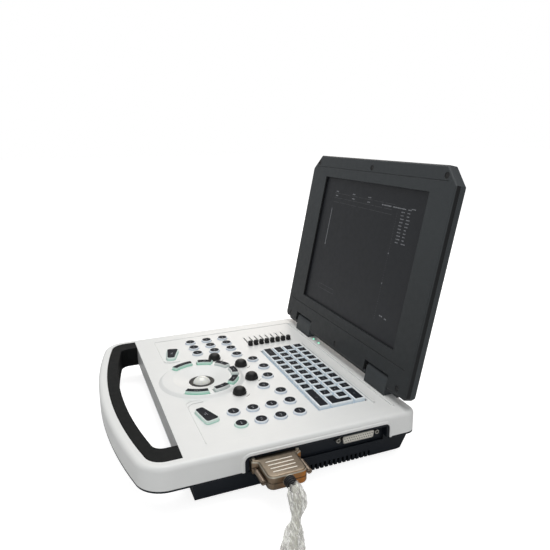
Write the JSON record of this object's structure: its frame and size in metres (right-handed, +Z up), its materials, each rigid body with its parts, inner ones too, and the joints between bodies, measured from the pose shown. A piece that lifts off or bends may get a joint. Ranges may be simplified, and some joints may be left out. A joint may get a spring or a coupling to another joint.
{
  "type": "portable ultrasound scanner",
  "caption": "Clamshell ultrasound scanner: white control-panel casing with a handle bar, black lid with the screen, and a metal-hooded transducer plug with its cable.",
  "frame": {"origin": "centre of the casing's plan on the flat underside of the lower case, 3 mm above the desk that the rubber feet stand on", "axes": "+X to the operator's right (connector side), +Y away from the operator towards the lid hinge, +Z up"},
  "size_m": [0.4932, 0.3719, 0.3118],
  "materials": {
    "white_plastic": "fine-textured off-white moulded plastic",
    "black_plastic": "black moulded plastic",
    "lid_plastic": "black moulded plastic, fine texture",
    "grip_rubber": "soft black grip",
    "foot_rubber": "moulded rubber",
    "screw_steel": "zinc-plated steel",
    "led_lens": "green lamp lens",
    "circuit_board": "green solder mask",
    "key_silicone": "translucent white silicone, lit from below",
    "key_cap": "black printed top on a translucent skirt",
    "knob_plastic": "black moulded knob",
    "encoder_metal": "stamped metal",
    "ball_plastic": "polished phenolic ball",
    "battery_wrap": "blue wrapped cells",
    "lcd_glass": "dark anti-glare screen",
    "hinge_steel": "steel",
    "connector_metal": "nickel-plated steel",
    "hood_metal": "bronze-toned die-cast metal",
    "relief_rubber": "black ribbed rubber",
    "cable_jacket": "cream cable jacket",
    "film_sleeve": "clear wrinkled film"
  },
  "bodies": {
    "base": {"upper_case": "white_plastic", "lower_case": "black_plastic", "grip_liner": "grip_rubber", "port_panel": "black_plastic", "case_screws": "screw_steel", "rubber_feet": "foot_rubber", "led_lenses": "led_lens", "control_board": "circuit_board", "keypad_mat": "key_silicone", "encoders": "encoder_metal", "slider_bank": "black_plastic", "trackball_ring": "black_plastic", "trackball_housing": "black_plastic", "main_board": "circuit_board", "battery_pack": "battery_wrap", "fan_frame": "black_plastic", "hinge_blocks": "black_plastic", "probe_sockets": "connector_metal", "screw_locks": "connector_metal"},
    "lid": {"lid_bezel": "lid_plastic", "lid_back_cover": "lid_plastic", "lcd_panel": "lcd_glass", "lid_screws": "screw_steel", "hinge_arms": "hinge_steel"},
    "probe_plug": {"plug_shell": "connector_metal", "hood_upper": "hood_metal", "hood_lower": "hood_metal", "strain_relief": "relief_rubber", "probe_cable": "cable_jacket", "cable_sleeve": "film_sleeve"},
    "thumbscrew_front": {"thumbscrew_front": "screw_steel"},
    "thumbscrew_back": {"thumbscrew_back": "screw_steel"},
    "fan_rotor": {"fan_rotor": "black_plastic"},
    "trackball": {"trackball": "ball_plastic"},
    "knob_1": {"knob_1": "knob_plastic"},
    "knob_2": {"knob_2": "knob_plastic"},
    "knob_3": {"knob_3": "knob_plastic"},
    "knob_4": {"knob_4": "knob_plastic"},
    "slider_1": {"slider_1": "knob_plastic"},
    "slider_2": {"slider_2": "knob_plastic"},
    "slider_3": {"slider_3": "knob_plastic"},
    "slider_4": {"slider_4": "knob_plastic"},
    "slider_5": {"slider_5": "knob_plastic"},
    "slider_6": {"slider_6": "knob_plastic"},
    "slider_7": {"slider_7": "knob_plastic"},
    "slider_8": {"slider_8": "knob_plastic"},
    "key_row_1": {"key_row_1": "key_cap"},
    "key_row_2": {"key_row_2": "key_cap"},
    "key_row_3": {"key_row_3": "key_cap"},
    "key_row_4": {"key_row_4": "key_cap"},
    "enter_key": {"enter_key": "key_cap"},
    "buttons_left": {"buttons_left": "key_cap"},
    "buttons_arc": {"buttons_arc": "key_cap"},
    "buttons_right": {"buttons_right": "key_cap"},
    "arc_keys": {"arc_keys": "key_cap"},
    "select_left": {"select_left": "key_cap"},
    "select_right": {"select_right": "key_cap"},
    "freeze_key": {"freeze_key": "key_cap"},
    "print_key": {"print_key": "key_cap"}
  },
  "joints": [
    {"name": "lid_hinge", "type": "hinge", "parent": "base", "child": "lid", "pos_m": [0, 0.15299, 0.06399], "axis": [1, 0, 0], "range_deg": [-33, 101.8]},
    {"name": "plug_pull", "type": "slide", "parent": "base", "child": "probe_plug", "axis": [1, 0, 0], "range_m": [0, 0.03]},
    {"name": "thumbscrew_front_turn", "type": "hinge", "parent": "probe_plug", "child": "thumbscrew_front", "pos_m": [0.1657, -0.03252, 0.0295], "axis": [1, 0, 0], "continuous": true},
    {"name": "thumbscrew_back_turn", "type": "hinge", "parent": "probe_plug", "child": "thumbscrew_back", "pos_m": [0.1657, 0.01452, 0.0295], "axis": [1, 0, 0], "continuous": true},
    {"name": "fan_spin", "type": "hinge", "parent": "base", "child": "fan_rotor", "pos_m": [-0.153, 0.101, 0.0185], "axis": [1, 0, 0], "continuous": true},
    {"name": "trackball_roll", "type": "hinge", "parent": "base", "child": "trackball", "pos_m": [0.001, -0.039, 0.0397], "axis": [1, 0, 0], "continuous": true},
    {"name": "knob_1_turn", "type": "hinge", "parent": "base", "child": "knob_1", "pos_m": [-0.054, -0.007, 0.048], "axis": [0, 0, 1], "continuous": true},
    {"name": "knob_2_turn", "type": "hinge", "parent": "base", "child": "knob_2", "pos_m": [-0.0208, 0.0195, 0.048], "axis": [0, 0, 1], "continuous": true},
    {"name": "knob_3_turn", "type": "hinge", "parent": "base", "child": "knob_3", "pos_m": [0.0212, 0.0195, 0.048], "axis": [0, 0, 1], "continuous": true},
    {"name": "knob_4_turn", "type": "hinge", "parent": "base", "child": "knob_4", "pos_m": [0.054, -0.007, 0.048], "axis": [0, 0, 1], "continuous": true},
    {"name": "slider_1_slide", "type": "slide", "parent": "base", "child": "slider_1", "axis": [1, 0, 0], "range_m": [-0.0295, 0]},
    {"name": "slider_2_slide", "type": "slide", "parent": "base", "child": "slider_2", "axis": [1, 0, 0], "range_m": [-0.0295, 0]},
    {"name": "slider_3_slide", "type": "slide", "parent": "base", "child": "slider_3", "axis": [1, 0, 0], "range_m": [-0.0295, 0]},
    {"name": "slider_4_slide", "type": "slide", "parent": "base", "child": "slider_4", "axis": [1, 0, 0], "range_m": [-0.0295, 0]},
    {"name": "slider_5_slide", "type": "slide", "parent": "base", "child": "slider_5", "axis": [1, 0, 0], "range_m": [-0.0295, 0]},
    {"name": "slider_6_slide", "type": "slide", "parent": "base", "child": "slider_6", "axis": [1, 0, 0], "range_m": [-0.0295, 0]},
    {"name": "slider_7_slide", "type": "slide", "parent": "base", "child": "slider_7", "axis": [1, 0, 0], "range_m": [-0.0295, 0]},
    {"name": "slider_8_slide", "type": "slide", "parent": "base", "child": "slider_8", "axis": [1, 0, 0], "range_m": [-0.0295, 0]},
    {"name": "key_row_1_press", "type": "slide", "parent": "base", "child": "key_row_1", "axis": [0, 0, -1], "range_m": [0, 0.001]},
    {"name": "key_row_2_press", "type": "slide", "parent": "base", "child": "key_row_2", "axis": [0, 0, -1], "range_m": [0, 0.001]},
    {"name": "key_row_3_press", "type": "slide", "parent": "base", "child": "key_row_3", "axis": [0, 0, -1], "range_m": [0, 0.001]},
    {"name": "key_row_4_press", "type": "slide", "parent": "base", "child": "key_row_4", "axis": [0, 0, -1], "range_m": [0, 0.001]},
    {"name": "enter_key_press", "type": "slide", "parent": "base", "child": "enter_key", "axis": [0, 0, -1], "range_m": [0, 0.001]},
    {"name": "buttons_left_press", "type": "slide", "parent": "base", "child": "buttons_left", "axis": [0, 0, -1], "range_m": [0, 0.0012]},
    {"name": "buttons_arc_press", "type": "slide", "parent": "base", "child": "buttons_arc", "axis": [0, 0, -1], "range_m": [0, 0.0012]},
    {"name": "buttons_right_press", "type": "slide", "parent": "base", "child": "buttons_right", "axis": [0, 0, -1], "range_m": [0, 0.0012]},
    {"name": "arc_keys_press", "type": "slide", "parent": "base", "child": "arc_keys", "axis": [0, 0, -1], "range_m": [0, 0.0012]},
    {"name": "select_left_press", "type": "slide", "parent": "base", "child": "select_left", "axis": [0, 0, -1], "range_m": [0, 0.0012]},
    {"name": "select_right_press", "type": "slide", "parent": "base", "child": "select_right", "axis": [0, 0, -1], "range_m": [0, 0.0012]},
    {"name": "freeze_key_press", "type": "slide", "parent": "base", "child": "freeze_key", "axis": [0, 0, -1], "range_m": [0, 0.0012]},
    {"name": "print_key_press", "type": "slide", "parent": "base", "child": "print_key", "axis": [0, 0, -1], "range_m": [0, 0.0012]}
  ]
}
